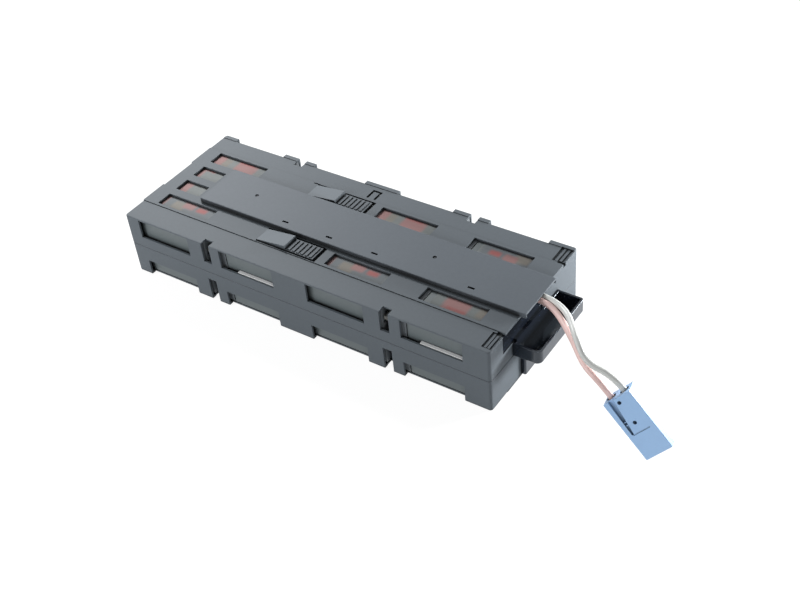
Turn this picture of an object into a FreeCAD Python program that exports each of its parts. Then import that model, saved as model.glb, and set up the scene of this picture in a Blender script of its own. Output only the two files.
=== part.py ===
"""Battery cartridge for a rack uninterruptible power supply.

Four sealed 12 V batteries lie in a two-part moulded tray, in two pairs that
face each other lid to lid.  The leads run along the top under a wiring cover
and leave over the end wall, above a pull handle, to a two-pole connector.

Millimetres.  +X runs along the tray to the handle, +Y away from the side with
the open windows, +Z up.  The origin is the middle of the tray's underside.
"""
import FreeCAD, Part
import math
import os

V = FreeCAD.Vector

# ---------------------------------------------------------------- batteries
BATTERY_LENGTH = 151.0        # along Y
BATTERY_WIDTH = 64.6          # along Z
BATTERY_HEIGHT = 94.0         # along X, case and lid without the tabs
BATTERY_LID = 11.3            # how much of that height is the lid
LID_INSET = 1.3               # the lid stands this far inside the case wall
LID_SEAM = 1.0                # height of the groove where lid meets case
BATTERY_CORNER = 2.0
TAB_WIDTH = 6.35
TAB_THICK = 0.8
TAB_LENGTH = 6.3
TAB_FROM_END = 8.0            # tab centre from the battery's narrow side
TAB_FROM_TOP = 12.0           # tab centre below the battery's upper face
TAB_WELL = 1.6                # depth of the well that the tab stands in
TAB_WELL_SIZE = 12.0
LABEL_THICK = 0.3
LABEL_MARGIN = 6.0

# ---------------------------------------------------------------- tray
WALL = 2.0                    # side walls and handle-end wall
PLATE = 2.5                   # top and bottom plates
BACK_WALL = 3.3               # the end wall away from the handle
BACK_RECESS_DEPTH = 1.6
BACK_RECESS_WIDTH = 43.5
END_PLAY = 0.2                # battery to back wall
HANDLE_END_PLAY = 1.1         # battery to handle-end wall
MID_RIB = 1.4                 # rib between the two pairs
RIB_PLAY = 0.1
RIB_REACH = 20.0              # how far the mid rib stands off each plate
TERMINAL_GAP = 15.7           # between facing lids in a pair
FOAM_GAP = 3.0                # between the window side wall and the batteries
FOAM_START = 19.0             # foam strip, from the start of its window
FOAM_BEYOND = 8.0             # foam strip, past the end of its window
FOAM_HEIGHT = 8.7
FOAM_ABOVE_SILL = 0.8
TOP_PLAY = 0.4                # above the batteries
CORNER_RADIUS = 3.0
EDGE_RADIUS = 1.0
PARTING_CHAMFER = 0.7
LIP_THICK = 0.9
LIP_HEIGHT = 1.8
LIP_PLAY = 0.1
STEP_FROM_MIDDLE = 51.6       # where the raised middle of a plate ends
STEP_HEIGHT = 0.8
EDGE_TAB_RISE = 0.6           # how far the strip by the cut-outs stands proud

WINDOW_START = 17.2           # first window from the back end
WINDOW_LENGTH = 63.6
SIDE_WINDOW_HEIGHT = 22.7     # from the plate's outer face down the wall
SIDE_LINTEL = 1.2             # plate edge left over each side window
EDGE_CUT_HEIGHT = 18.0        # corner cut-outs, down the wall
EDGE_CUT_DEPTH = 5.2          # corner cut-outs, into the plate
SLOT_LENGTH = 10.0            # slots over the terminal gaps
SLOT_FROM_LID = 0.7
SLOT_SHORT_DEPTH = 8.0
SLOT_LONG_DEPTH = 11.0
SLOT_LONG_HEIGHT = 26.0
OUTER_COLUMN = (31.2, 48.9)   # plate openings, distance from the middle line
INNER_COLUMN = (4.5, 21.9)
SHORT_WINDOW_LENGTH = 30.0
WINDOW_CORNER = 1.0

# latch tongues in the upper plate, over the second battery
TONGUE_START = 143.5
RAMP_LENGTH = 34.0
RAMP_HEIGHT = 4.0
PAD_LENGTH = 32.0
PAD_HEIGHT = 0.3
PAD_RIBS = 6
PAD_RIB_WIDTH = 2.6
PAD_RIB_HEIGHT = 0.9
PAD_RIB_START = 2.6           # clear of the ramp's end
TONGUE_SLOT = 2.2
TONGUE_END_SLOT = 3.6
CATCH_START = 197.5           # small catch tongue beyond the far latch
CATCH_LENGTH = 11.0
CATCH_FROM_MIDDLE = 55.5
CATCH_REACH = 13.5
CATCH_SLOT = 2.5
VENT_START = 137.5            # slit beside the far latch
VENT_LENGTH = 8.0
VENT_WIDTH = 2.4

# hand pockets in the upper plate's handle-end corners
POCKET_LENGTHS = (9.5, 12.0)    # near corner, far corner
POCKET_WIDTH = 20.5
POCKET_FROM_END = 1.2
POCKET_FROM_SIDE = 4.5
POCKET_DEPTH = 1.3
POCKET_RIBS = 2
POCKET_RIB = 2.2
POCKET_RIB_HEIGHT = 0.8
CORNER_NOTCH_LENGTH = 7.0     # notch between the pocket block and the plate
CORNER_NOTCH_WIDTH = 4.6
CORNER_NOTCH_DEPTH = 4.0

# ---------------------------------------------------------------- wiring cover
COVER_START = 55.0            # from the back end
COVER_OVERHANG = 6.0          # past the handle-end wall
COVER_WIDTH = 54.6
COVER_HEIGHT = 4.8            # above the raised plate
COVER_THICK = 1.6
COVER_CORNER = 1.0
COVER_EDGE = 0.7
CHANNEL_MARGIN = 3.2          # plate left under the cover's rim
LEG_THICK = 1.4               # snap legs that hold the cover
LEG_LENGTH = 9.0
LEG_DEPTH = 4.2
LEG_PLAY = 0.3
LEG_SITES = (-1, 0, 1, 3)
LEG_PITCH = 51.6
LEG_HOOK = 0.8
MARK_LENGTH = 7.0             # core-pin slots in the cover's top
MARK_WIDTH = 2.2
MARK_FROM_MIDDLE = 19.3
DIMPLE_RADIUS = 2.0
DIMPLE_DEPTH = 0.9
DIMPLE_FROM_MIDDLE = 103.5
DIMPLE_OFFSET = 2.0
NOTCH_DEPTH = 0.8             # the end wall is lower where the leads pass

# ---------------------------------------------------------------- handle
HANDLE_WIDTH = 82.0
HANDLE_REACH = 26.7
HANDLE_TOP = 49.5
HANDLE_DEPTH = 15.0
HANDLE_WALL = 2.4
HANDLE_FLOOR = 2.6
HANDLE_CORNER = 6.0           # at the end by the window side
HANDLE_FAR_CORNER = 3.0
HANDLE_LOWER_EDGE = 2.5
HANDLE_RIM_EDGE = 0.6
APRON_WIDTH = 54.0
APRON_THICK = 4.6
APRON_BOTTOM = 2.5
MOUTH_BLOCK = (-57.0, 13.0)   # the handle's root, seen in the end wall's mouth
MOUTH_BOTTOM = 50.0
MOUTH_PLAY = 0.2
MOUTH_SET_BACK = 0.8
HANDLE_PEGS = (-34.0, 34.0)
PEG_RADIUS = 3.0
PEG_PLAY = 0.1
PEG_HEIGHT = 42.5

# ---------------------------------------------------------------- leads
LEAD_DIAMETER = 5.6
JUMPER_DIAMETER = 4.0
LINK_DIAMETER = 3.6
LEAD_PLAY = 0.05              # between a lead and the label under it
POSITIVE_LEAD_Y = -0.5
NEGATIVE_LEAD_Y = 5.4
JUMPER_Y = -14.0
GAP_RUN_Z = 36.0              # height of the runs inside the terminal gaps
LINK_DROP = 13.0
GAP_SHIFT = 14.0              # where a lead crosses from one lid to the other
LEAD_BEND = 12.0              # bends over the batteries' edges
JUMPER_BEND = 5.5
RECEPTACLE_SEAT = 0.2
LAST_RUN = 20.0
LEAD_EXIT_INSIDE = 4.0        # the free leads start this far inside the hood
RECEPTACLE = (7.0, 9.0, 3.6)  # flag receptacle on a tab, along X, Y and Z

# free leads: the points of their way between the tray and the connector
POSITIVE_ROUTE = [
    (219.5, -0.5, 70.25), (237.0, -9.4, 68.0), (261.5, -31.8, 67.6),
    (278.2, -46.5, 61.0),
]
NEGATIVE_ROUTE = [
    (219.5, 5.4, 70.25), (241.6, -5.0, 72.2), (264.2, -35.3, 79.8),
    (281.6, -49.5, 69.4),
]

# ---------------------------------------------------------------- connector
CONNECTOR_LENGTH = 58.4
CONNECTOR_WIDTH = 26.6
CONNECTOR_THICK = 17.3
CONNECTOR_REAR = 28.0         # full-thickness half
TONGUE_THICK = 8.6            # mating half
CONNECTOR_PITCH = 44.2        # nose down
CONNECTOR_YAW = -3.7
CONNECTOR_ROLL = 22.1
CONNECTOR_REST = 0.1          # nose corner above the plane that the tray stands on
POLE_PITCH = 13.3
CONNECTOR_EDGE = 0.7
CONNECTOR_AT = (322.7, -55.4)  # upper wire-end corner of its broad face
GROOVE_WIDTH = 5.6
GROOVE_DEPTH = 2.8
GROOVE_START = 5.0
GROOVE_RIBS = (21.5, 24.5)    # cross ribs left in the groove
GROOVE_RIB = 0.8
GROOVE_LENGTH = 34.0
KEY_HOLES = (4.8, 25.5)
KEY_HOLE_RADIUS = 1.7
STEP_LINE = 34.0
STEP_LINE_DEPTH = 0.5
POLE_BORE = 9.0
CONTACT_WIDTH = 8.4
CONTACT_THICK = 2.0
CONTACT_BARREL = 7.4
CONTACT_REAR = 24.0
CONTACT_SET_BACK = 3.0
CONTACT_SLOT = 3.4
CONTACT_PLAY = 0.3
BARREL_START = 5.0
STEP_LINE_WIDTH = 1.0

# ---------------------------------------------------------------- worked out
BOX_LENGTH = (BACK_WALL + END_PLAY + 4 * BATTERY_HEIGHT + 2 * TERMINAL_GAP
              + MID_RIB + 2 * RIB_PLAY + HANDLE_END_PLAY + WALL)
BOX_WIDTH = 2 * WALL + FOAM_GAP + BATTERY_LENGTH
BOX_HEIGHT = 2 * PLATE + BATTERY_WIDTH + TOP_PLAY
BACK = -BOX_LENGTH / 2
FRONT = BOX_LENGTH / 2
NEAR = -BOX_WIDTH / 2
FAR = BOX_WIDTH / 2
PARTING = BOX_HEIGHT / 2
PAIR_PITCH = 2 * BATTERY_HEIGHT + TERMINAL_GAP + MID_RIB + 2 * RIB_PLAY
WINDOW_PITCH = PAIR_PITCH / 2
BATTERY_NEAR = NEAR + WALL + FOAM_GAP
BATTERY_FAR = BATTERY_NEAR + BATTERY_LENGTH
BATTERY_TOP = PLATE + BATTERY_WIDTH
FIRST_BATTERY = BACK + BACK_WALL + END_PLAY
COVER_BACK = BACK + COVER_START
COVER_FRONT = FRONT + COVER_OVERHANG
COVER_TOP = BOX_HEIGHT + COVER_HEIGHT
LEAD_Z = BATTERY_TOP + LABEL_THICK + LEAD_PLAY + LEAD_DIAMETER / 2
LEAD_EXIT = FRONT - LEAD_EXIT_INSIDE


def box(x0, x1, y0, y1, z0, z1):
    """A block between two corners."""
    return Part.makeBox(x1 - x0, y1 - y0, z1 - z0, V(x0, y0, z0))


def rounded_block(x0, x1, y0, y1, z0, z1, radius):
    """A block with its four upright edges rounded."""
    block = box(x0, x1, y0, y1, z0, z1)
    upright = [e for e in block.Edges if e.BoundBox.ZLength > 0.99 * (z1 - z0)]
    return block.makeFillet(radius, upright)


def edges_at(shape, height, tolerance=0.01):
    """The edges that lie flat at one height."""
    return [e for e in shape.Edges
            if abs(e.BoundBox.ZMin - height) < tolerance
            and abs(e.BoundBox.ZMax - height) < tolerance]


def fuse_all(shapes):
    """One solid out of several that touch."""
    return shapes[0].multiFuse(shapes[1:]).removeSplitter()


def save(name, shape):
    """Write one named piece, after checking that it is sound."""
    solids = shape.Solids
    if not solids or not shape.isValid():
        raise ValueError(name + " is not a sound solid")
    whole = solids[0] if len(solids) == 1 else Part.makeCompound(solids)
    whole.exportStep(os.path.join("parts", name + ".step"))
    print("%-26s solids %d  volume %9.1f" % (name, len(solids), whole.Volume))


def tube(points, diameter, name, tightest=None):
    """A round lead: straight runs joined by the largest arcs that they allow.

    Where the lead goes round a battery's edge, tightest caps the arcs.
    """
    corners = [V(*p) for p in points]
    edges, radii, start = [], [], corners[0]
    for before, corner, after in zip(corners, corners[1:], corners[2:]):
        run_in, run_out = corner - before, after - corner
        turn = run_in.getAngle(run_out)
        radius = 0.45 * min(run_in.Length, run_out.Length) / math.tan(turn / 2)
        if tightest is not None:
            radius = min(radius, tightest)
        setback = radius * math.tan(turn / 2)
        arc_start = corner - V(run_in).normalize() * setback
        arc_end = corner + V(run_out).normalize() * setback
        bisector = (arc_start + arc_end) * 0.5 - corner
        centre = corner + bisector.normalize() * (radius / math.cos(turn / 2))
        middle = centre + (corner - centre).normalize() * radius
        edges.append(Part.LineSegment(start, arc_start).toShape())
        edges.append(Part.Arc(arc_start, middle, arc_end).toShape())
        radii.append(radius)
        start = arc_end
    edges.append(Part.LineSegment(start, corners[-1]).toShape())
    path = Part.Wire(edges)
    heading = (corners[1] - corners[0]).normalize()
    ring = Part.Wire([Part.makeCircle(diameter / 2, corners[0], heading)])
    solid = path.makePipeShell([ring], True, False)
    expected = math.pi * diameter ** 2 / 4 * path.Length
    print("%-20s length %.1f  radii %s  volume ratio %.4f" % (
        name, path.Length, [round(r, 1) for r in radii],
        solid.Volume / expected))
    return solid


# ---------------------------------------------------------------- placing
def battery_lid_x(index):
    """Where a battery's lid face stands, and which way it looks."""
    pair, second = divmod(index, 2)
    start = FIRST_BATTERY + pair * PAIR_PITCH
    if second:
        return start + BATTERY_HEIGHT + TERMINAL_GAP, -1
    return start + BATTERY_HEIGHT, 1


def window_span(index):
    """The X range of one battery's windows."""
    start = BACK + WINDOW_START + index * WINDOW_PITCH
    return start, start + WINDOW_LENGTH


def slot_span(pair):
    """The X range of the slots over one pair's terminal gap."""
    lid_face, _ = battery_lid_x(2 * pair)
    start = lid_face + SLOT_FROM_LID
    return start, start + SLOT_LENGTH


# ---------------------------------------------------------------- tray halves
def shell_half():
    """The half tray that both mouldings share, plate up, rim at the parting.

    Its tall windows are in the near wall and its corner cut-outs are along the
    far edge.  The lower half is the same form turned over about X.
    """
    top, rim = BOX_HEIGHT, PARTING
    body = rounded_block(BACK, FRONT, NEAR, FAR, rim, top, CORNER_RADIUS)
    tab_top = top - STEP_HEIGHT + EDGE_TAB_RISE
    body = body.cut([
        box(BACK - 1, FRONT + 1, STEP_FROM_MIDDLE, FAR + 1, tab_top, top + 1),
        box(BACK - 1, FRONT + 1, NEAR - 1, -STEP_FROM_MIDDLE, top - STEP_HEIGHT, top + 1)])
    for height, side in ((tab_top, 1), (top - STEP_HEIGHT, -1)):
        body = body.makeFillet(EDGE_RADIUS, [
            e for e in edges_at(body, height)
            if e.BoundBox.XLength > BOX_LENGTH / 2
            and abs(e.BoundBox.YMin - side * FAR) < 0.1])
    body = body.makeChamfer(PARTING_CHAMFER, edges_at(body, rim))
    body = body.cut(box(BACK - 1, FRONT + 1, STEP_FROM_MIDDLE, FAR - EDGE_CUT_DEPTH,
                        top - STEP_HEIGHT, top + 1))
    body = body.cut(box(BACK + BACK_WALL, FRONT - WALL, NEAR + WALL, FAR - WALL,
                        rim - 1, top - PLATE))
    body = body.cut(box(BACK - 1, BACK + BACK_RECESS_DEPTH,
                        -BACK_RECESS_WIDTH / 2, BACK_RECESS_WIDTH / 2,
                        rim - 1, top + 1))
    rib_x, _ = battery_lid_x(1)
    rib_x += BATTERY_HEIGHT + RIB_PLAY
    rib = box(rib_x, rib_x + MID_RIB, NEAR + WALL - 0.5, FAR - WALL + 0.5,
              top - PLATE - RIB_REACH, top - PLATE + 0.5)
    body = body.fuse(rib)

    cuts = []
    for index in range(4):
        x0, x1 = window_span(index)
        cuts.append(box(x0, x1, NEAR - 1, NEAR + WALL,
                        top - SIDE_WINDOW_HEIGHT, top - STEP_HEIGHT - SIDE_LINTEL))
        cuts.append(box(x0, x1, FAR - EDGE_CUT_DEPTH, FAR + 1,
                        top - EDGE_CUT_HEIGHT, top + 1))
    for pair in range(2):
        x0, x1 = slot_span(pair)
        cuts.append(box(x0, x1, NEAR - 1, NEAR + SLOT_SHORT_DEPTH,
                        top - SIDE_WINDOW_HEIGHT, top + 1))
        cuts.append(box(x0, x1, FAR - SLOT_LONG_DEPTH, FAR + 1,
                        top - SLOT_LONG_HEIGHT, top + 1))
    return body.cut(cuts)


def plate_window(x0, x1, y0, y1):
    """An opening through a plate, with rounded corners."""
    return rounded_block(x0, x1, y0, y1, BOX_HEIGHT - PLATE - 1,
                         BOX_HEIGHT + 1, WINDOW_CORNER)


def turned_over(shape):
    """The same form turned half a turn about the tray's long axis."""
    turned = shape.copy()
    turned.rotate(V(0, 0, PARTING), V(1, 0, 0), 180)
    return turned


def lip_ring(play):
    """The tongue round the cavity that keeps the two halves in register."""
    reach = LIP_THICK - play
    x0, x1, y0, y1 = BACK + BACK_WALL, FRONT - WALL, NEAR + WALL, FAR - WALL
    outside = box(x0 - reach, x1 + reach, y0 - reach, y1 + reach,
                  PARTING - LIP_HEIGHT + play, PARTING)
    return outside.cut(box(x0, x1, y0, y1, PARTING - LIP_HEIGHT - 1, PARTING + 1))


def lower_shell():
    """Lower half: plain plate with four openings under each battery."""
    shell = shell_half()
    openings = []
    for index in range(4):
        x0, x1 = window_span(index)
        for low, high in (OUTER_COLUMN, INNER_COLUMN):
            openings.append(plate_window(x0, x1, low, high))
            openings.append(plate_window(x0, x1, -high, -low))
    return turned_over(shell.cut(openings))


def latch_tongue(side):
    """A moulded latch: the slot round it, and the ramp and ribbed pad on it."""
    low, high = OUTER_COLUMN
    y0, y1 = (low, high) if side > 0 else (-high, -low)
    x0 = BACK + TONGUE_START
    x1 = x0 + RAMP_LENGTH
    x2 = x1 + PAD_LENGTH
    top = BOX_HEIGHT
    under = top - PLATE - 1
    slot = box(x0, x2 + TONGUE_END_SLOT, y0 - TONGUE_SLOT, y1 + TONGUE_SLOT,
               under, top + 1).cut(box(x0 - 1, x2, y0, y1, under - 1, top + 2))
    profile = Part.makePolygon([V(x0, y0, top - 0.5), V(x0, y0, top),
                                V(x1, y0, top + RAMP_HEIGHT),
                                V(x1, y0, top - 0.5), V(x0, y0, top - 0.5)])
    ramp = Part.Face(profile).extrude(V(0, y1 - y0, 0))
    crown = [e for e in ramp.Edges if e.BoundBox.ZMin > top + RAMP_HEIGHT - 0.1]
    ramp = ramp.makeFillet(0.5, crown)
    pad = box(x1, x2, y0, y1, top - 0.5, top + PAD_HEIGHT)
    pitch = (PAD_LENGTH - PAD_RIB_START) / PAD_RIBS
    ribs = [box(x1 + PAD_RIB_START + k * pitch,
                x1 + PAD_RIB_START + k * pitch + PAD_RIB_WIDTH,
                y0 + 1, y1 - 1, top, top + PAD_HEIGHT + PAD_RIB_HEIGHT)
            for k in range(PAD_RIBS)]
    return slot, [ramp, pad] + ribs


def upper_shell():
    """Upper half: openings, latches, channel for the leads, hand pockets."""
    shell = shell_half()
    top = BOX_HEIGHT
    openings = []
    for index in (0, 2, 3):
        x0, x1 = window_span(index)
        low, high = OUTER_COLUMN
        openings.append(plate_window(x0, x1, low, high))
        openings.append(plate_window(x0, x1, -high, -low))
    x0, _ = window_span(0)
    low, high = INNER_COLUMN
    openings.append(plate_window(x0, x0 + SHORT_WINDOW_LENGTH, low, high))
    openings.append(plate_window(x0, x0 + SHORT_WINDOW_LENGTH, -high, -low))

    half_channel = COVER_WIDTH / 2 - CHANNEL_MARGIN
    openings.append(box(COVER_BACK + CHANNEL_MARGIN, FRONT + 1,
                        -half_channel, half_channel, top - PLATE - 0.1, top + 1))
    openings.append(box(FRONT - WALL - 1, FRONT + 1, -half_channel, half_channel,
                        top - PLATE - NOTCH_DEPTH, top))
    mouth_low, mouth_high = MOUTH_BLOCK
    openings.append(box(FRONT - WALL - 1, FRONT + 1, mouth_low, mouth_high,
                        MOUTH_BOTTOM, top - PLATE))
    for y in HANDLE_PEGS:
        openings.append(Part.makeCylinder(PEG_RADIUS + PEG_PLAY, WALL + 2,
                                          V(FRONT - WALL - 1, y, PEG_HEIGHT),
                                          V(1, 0, 0)))

    raised = []
    for side in (-1, 1):
        slot, pieces = latch_tongue(side)
        openings.append(slot)
        raised += pieces

    cx, cy = BACK + CATCH_START, CATCH_FROM_MIDDLE
    catch = box(cx, cx + CATCH_LENGTH, cy, cy + CATCH_REACH, top - PLATE - 1, top + 1)
    catch = catch.cut(box(cx + CATCH_SLOT, cx + CATCH_LENGTH - CATCH_SLOT, cy - 1,
                          cy + CATCH_REACH - CATCH_SLOT, top - PLATE - 2, top + 2))
    openings.append(catch)
    vx = BACK + VENT_START
    openings.append(box(vx, vx + VENT_LENGTH, OUTER_COLUMN[1] + 1,
                        OUTER_COLUMN[1] + 1 + VENT_WIDTH, top - PLATE - 1, top + 1))

    for side, length in zip((-1, 1), POCKET_LENGTHS):
        y0, y1 = sorted((side * STEP_FROM_MIDDLE,
                         side * (STEP_FROM_MIDDLE + CORNER_NOTCH_WIDTH)))
        openings.append(box(FRONT - CORNER_NOTCH_LENGTH, FRONT + 1, y0, y1,
                            top - CORNER_NOTCH_DEPTH, top + 1))
        px = FRONT - POCKET_FROM_END - length
        edge = side * (FAR - POCKET_FROM_SIDE)
        y0, y1 = sorted((edge, edge - side * POCKET_WIDTH))
        floor = top - STEP_HEIGHT - POCKET_DEPTH
        pocket = box(px, px + length, y0, y1, floor, top + 1)
        pitch = length / (POCKET_RIBS + 1)
        for k in range(POCKET_RIBS):
            rx = px + (k + 1) * pitch
            pocket = pocket.cut(box(rx - POCKET_RIB / 2, rx + POCKET_RIB / 2,
                                    y0 + 1, y1 - 1, floor - 1,
                                    floor + POCKET_RIB_HEIGHT))
        openings.append(pocket)

    shell = shell.cut(openings)
    shell = shell.fuse(raised)
    return shell.removeSplitter()


def seated_halves():
    """Both halves, the upper one with the tongue and the lower its rebate."""
    lower = lower_shell().cut(lip_ring(0.0))
    upper = upper_shell().fuse(lip_ring(LIP_PLAY)).removeSplitter()
    return lower, upper


# ---------------------------------------------------------------- wiring cover
def wiring_cover():
    """A shallow lid over the leads, open at the end where they leave."""
    half = COVER_WIDTH / 2
    base = BOX_HEIGHT
    shell = rounded_block(COVER_BACK, COVER_FRONT, -half, half, base, COVER_TOP,
                          COVER_CORNER)
    shell = shell.makeFillet(COVER_EDGE, edges_at(shell, COVER_TOP))
    shell = shell.cut(box(COVER_BACK + COVER_THICK, COVER_FRONT + 1,
                          -half + COVER_THICK, half - COVER_THICK,
                          base - 1, COVER_TOP - COVER_THICK))
    cuts = []
    for site in LEG_SITES:
        x = site * LEG_PITCH
        cuts.append(box(x - MARK_LENGTH / 2, x + MARK_LENGTH / 2,
                        -MARK_FROM_MIDDLE - MARK_WIDTH / 2,
                        -MARK_FROM_MIDDLE + MARK_WIDTH / 2,
                        COVER_TOP - COVER_THICK - 1, COVER_TOP + 1))
    for side in (-1, 1):
        cuts.append(Part.makeCylinder(
            DIMPLE_RADIUS, DIMPLE_DEPTH + 1,
            V(side * DIMPLE_FROM_MIDDLE, DIMPLE_OFFSET, COVER_TOP - DIMPLE_DEPTH)))
    shell = shell.cut(cuts)
    legs = []
    channel = half - CHANNEL_MARGIN
    for site in LEG_SITES:
        x = site * LEG_PITCH
        for side in (-1, 1):
            outer = side * (channel - LEG_PLAY)
            inner = outer - side * LEG_THICK
            y0, y1 = sorted((outer, inner))
            legs.append(box(x - LEG_LENGTH / 2, x + LEG_LENGTH / 2, y0, y1,
                            base - PLATE + 0.1, COVER_TOP - COVER_THICK + 0.2))
    return shell.fuse(legs).removeSplitter()


# ---------------------------------------------------------------- handle
def handle():
    """A scoop-shaped pull with an apron below and a root in the end wall."""
    half = HANDLE_WIDTH / 2
    bottom = HANDLE_TOP - HANDLE_DEPTH
    outer = box(FRONT, FRONT + HANDLE_REACH, -half, half, bottom, HANDLE_TOP)
    corners = [e for e in outer.Edges
               if e.BoundBox.ZLength > HANDLE_DEPTH - 0.1
               and e.BoundBox.XMin > FRONT + 1]
    outer = outer.makeFillet(HANDLE_CORNER, [e for e in corners if e.BoundBox.YMax < 0])
    outer = outer.makeFillet(HANDLE_FAR_CORNER, [
        e for e in outer.Edges
        if e.BoundBox.ZLength > HANDLE_DEPTH - 0.1
        and e.BoundBox.XMin > FRONT + HANDLE_REACH - 0.1 and e.BoundBox.YMin > half - 0.1])
    low = [e for e in edges_at(outer, bottom) if e.BoundBox.XMax > FRONT + 0.1]
    outer = outer.makeFillet(HANDLE_LOWER_EDGE, low)
    inner = box(FRONT + HANDLE_WALL, FRONT + HANDLE_REACH - HANDLE_WALL,
                -half + HANDLE_WALL, half - HANDLE_WALL,
                bottom + HANDLE_FLOOR, HANDLE_TOP + 1)
    inner_corners = [e for e in inner.Edges
                     if e.BoundBox.ZLength > HANDLE_DEPTH - HANDLE_FLOOR
                     and e.BoundBox.XMin > FRONT + HANDLE_WALL + 1]
    inner = inner.makeFillet(HANDLE_CORNER - HANDLE_WALL, [
        e for e in inner_corners if e.BoundBox.YMax < 0])
    scoop = outer.cut(inner)
    rim = [e for e in edges_at(scoop, HANDLE_TOP) if e.BoundBox.XMax > FRONT + 0.1]
    scoop = scoop.makeFillet(HANDLE_RIM_EDGE, rim)
    apron = box(FRONT, FRONT + APRON_THICK, -APRON_WIDTH / 2, APRON_WIDTH / 2,
                APRON_BOTTOM, bottom + 1)
    apron = apron.makeFillet(1.5, [e for e in apron.Edges
                                   if e.BoundBox.XMin > FRONT + 1
                                   and e.BoundBox.YLength < 0.1])
    low_y, high_y = MOUTH_BLOCK
    root = box(FRONT - WALL, FRONT - MOUTH_SET_BACK, low_y + MOUTH_PLAY,
               high_y - MOUTH_PLAY, MOUTH_BOTTOM + MOUTH_PLAY,
               BOX_HEIGHT - PLATE - MOUTH_PLAY)
    neck = box(FRONT - WALL + 0.4, FRONT + HANDLE_WALL, -half + 4, high_y - 2,
               HANDLE_TOP - 4, MOUTH_BOTTOM + 2)
    neck = neck.cut(box(FRONT - WALL, FRONT, -half, half, 0, MOUTH_BOTTOM + MOUTH_PLAY))
    pegs = [Part.makeCylinder(PEG_RADIUS, WALL - 0.2,
                              V(FRONT - WALL + 0.2, y, PEG_HEIGHT), V(1, 0, 0))
            for y in HANDLE_PEGS]
    return fuse_all([scoop, apron, root, neck] + pegs)


# ---------------------------------------------------------------- batteries
def tab_places(index):
    """Centres of the negative and positive tabs on a battery's lid face."""
    face, look = battery_lid_x(index)
    z = BATTERY_TOP - TAB_FROM_TOP
    near, far = BATTERY_NEAR + TAB_FROM_END, BATTERY_FAR - TAB_FROM_END
    minus, plus = (near, far) if look > 0 else (far, near)
    return V(face, minus, z), V(face, plus, z), look


def battery(index):
    """One battery: its case, its lid and its two tabs."""
    face, look = battery_lid_x(index)
    floor = face - look * BATTERY_HEIGHT
    seam = face - look * BATTERY_LID

    def slab(xa, xb, inset):
        x0, x1 = sorted((xa, xb))
        block = box(x0, x1, BATTERY_NEAR + inset, BATTERY_FAR - inset,
                    PLATE + inset, BATTERY_TOP - inset)
        long_edges = [e for e in block.Edges if e.BoundBox.XLength > (x1 - x0) * 0.9]
        return block.makeFillet(BATTERY_CORNER - inset, long_edges)

    case = slab(floor, seam, 0.0)
    lid = slab(seam + look * LID_SEAM, face, 0.0)
    neck = slab(seam, seam + look * (LID_SEAM + 0.5), LID_INSET)
    lid = lid.fuse(neck)
    minus, plus, _ = tab_places(index)
    wells, tabs = [], []
    for place in (minus, plus):
        half = TAB_WELL_SIZE / 2
        x0, x1 = sorted((place.x - look * TAB_WELL, place.x + look))
        wells.append(box(x0, x1, place.y - half, place.y + half,
                         place.z - half, place.z + half))
        x0, x1 = sorted((place.x - look * TAB_WELL, place.x + look * TAB_LENGTH))
        tabs.append(box(x0, x1, place.y - TAB_WIDTH / 2, place.y + TAB_WIDTH / 2,
                        place.z - TAB_THICK / 2, place.z + TAB_THICK / 2))
    return case, lid.cut(wells).removeSplitter(), tabs


def battery_label(index):
    """The printed film on the battery's upper broad face."""
    face, look = battery_lid_x(index)
    x0, x1 = sorted((face - look * (BATTERY_LID + LABEL_MARGIN),
                     face - look * (BATTERY_HEIGHT - LABEL_MARGIN)))
    return box(x0, x1, BATTERY_NEAR + LABEL_MARGIN, BATTERY_FAR - LABEL_MARGIN,
               BATTERY_TOP, BATTERY_TOP + LABEL_THICK)


def foam_strip(index):
    """The foam that packs a battery off the window side wall."""
    x0, x1 = window_span(index)
    sill = BOX_HEIGHT - SIDE_WINDOW_HEIGHT
    top = sill + FOAM_ABOVE_SILL
    return box(x0 + FOAM_START, x1 + FOAM_BEYOND, NEAR + WALL, BATTERY_NEAR,
               top - FOAM_HEIGHT, top)


# ---------------------------------------------------------------- inner wiring
def receptacle(place, look):
    """A push-on flag receptacle on one tab."""
    length, width, height = RECEPTACLE
    x0, x1 = sorted((place.x + look * RECEPTACLE_SEAT,
                     place.x + look * (RECEPTACLE_SEAT + length)))
    body = box(x0, x1, place.y - width / 2, place.y + width / 2,
               place.z - height / 2, place.z + height / 2)
    body = body.makeFillet(0.8, [e for e in body.Edges
                                 if e.BoundBox.YLength > width - 0.1])
    a0, a1 = sorted((place.x - look, place.x + look * (TAB_LENGTH + 0.1)))
    return body.cut(box(a0, a1, place.y - TAB_WIDTH / 2 - 0.05,
                        place.y + TAB_WIDTH / 2 + 0.05,
                        place.z - TAB_THICK / 2 - 0.02,
                        place.z + TAB_THICK / 2 + 0.02))


def under(place, look):
    """Where a lead leaves a receptacle, below its middle."""
    length, _, height = RECEPTACLE
    return (place.x + look * (RECEPTACLE_SEAT + length / 2), place.y,
            place.z - height / 2)


def link(first, second, name):
    """The short U-shaped link between two facing tabs."""
    x0, y0, z0 = under(*first)
    x1, _, _ = under(*second)
    drop = z0 - LINK_DROP
    points = [(x0, y0, z0), (x0, y0, drop), (x1, y0, drop), (x1, y0, z0)]
    return tube(points, LINK_DIAMETER, name)


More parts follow.
